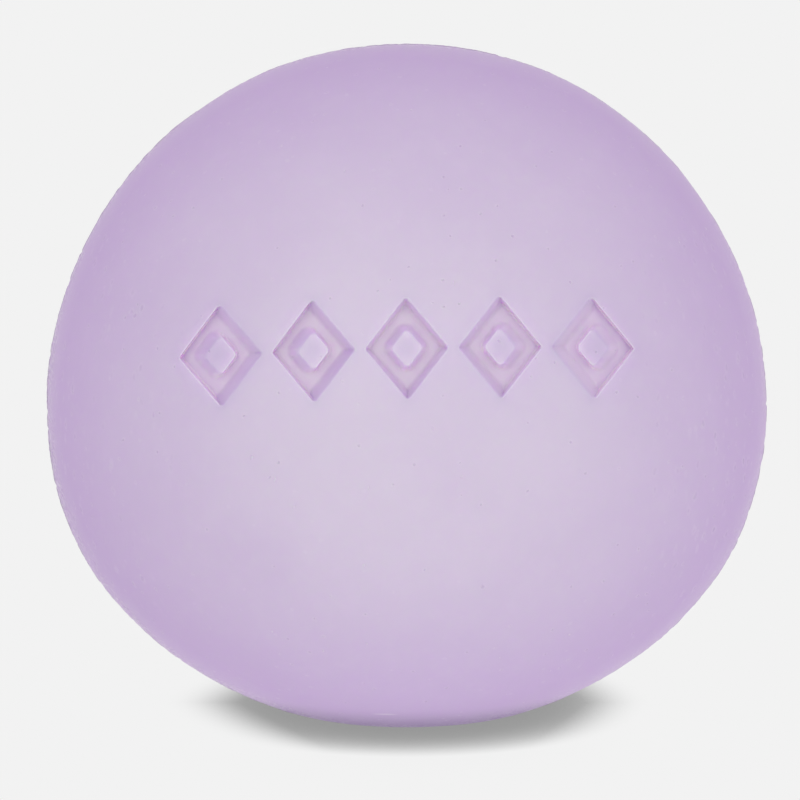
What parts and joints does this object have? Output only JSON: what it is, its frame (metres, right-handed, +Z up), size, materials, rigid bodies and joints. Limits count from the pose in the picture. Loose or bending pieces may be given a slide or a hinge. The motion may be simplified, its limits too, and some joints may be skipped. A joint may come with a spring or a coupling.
{
  "type": "gel squeeze ball",
  "caption": "Soft palm-sized gel squeeze ball, resting slightly sagged on a flat foot, with a row of plain lozenges sunk into its front.",
  "frame": {"origin": "centre of the flat foot that the ball rests on", "axes": "+Z up; -Y towards the front, where the sunk mark is; +Y towards the rear half with the fill port; +X to the right seen from the front; the mould's axis points to -Y and 15 degrees up, and the casing halves meet in the plane square to it"},
  "size_m": [0.065, 0.0648, 0.06],
  "materials": {
    "casing": "satin translucent elastomer, milky lavender",
    "seam": "trimmed bonded seam, fine and slightly rough, a little deeper in colour than the casing",
    "gel": "translucent memory gel, lavender",
    "plug": "plain moulded elastomer, lavender",
    "seal": "cured elastomer, satin, slightly glossier than the casing"
  },
  "bodies": {
    "rear": {"rear_shell": "casing", "seam_bead": "seam", "gel_core": "gel", "fill_plug": "plug", "plug_seal": "seal"},
    "front": {"front_shell": "casing"}
  },
  "joints": [
    {"name": "squeeze", "type": "slide", "parent": "rear", "child": "front", "axis": [0, 1, 0], "range_m": [0, 0.022], "stiffness_N_per_m": 350, "deforming": ["front_shell", "rear_shell", "gel_core", "seam_bead"]}
  ]
}
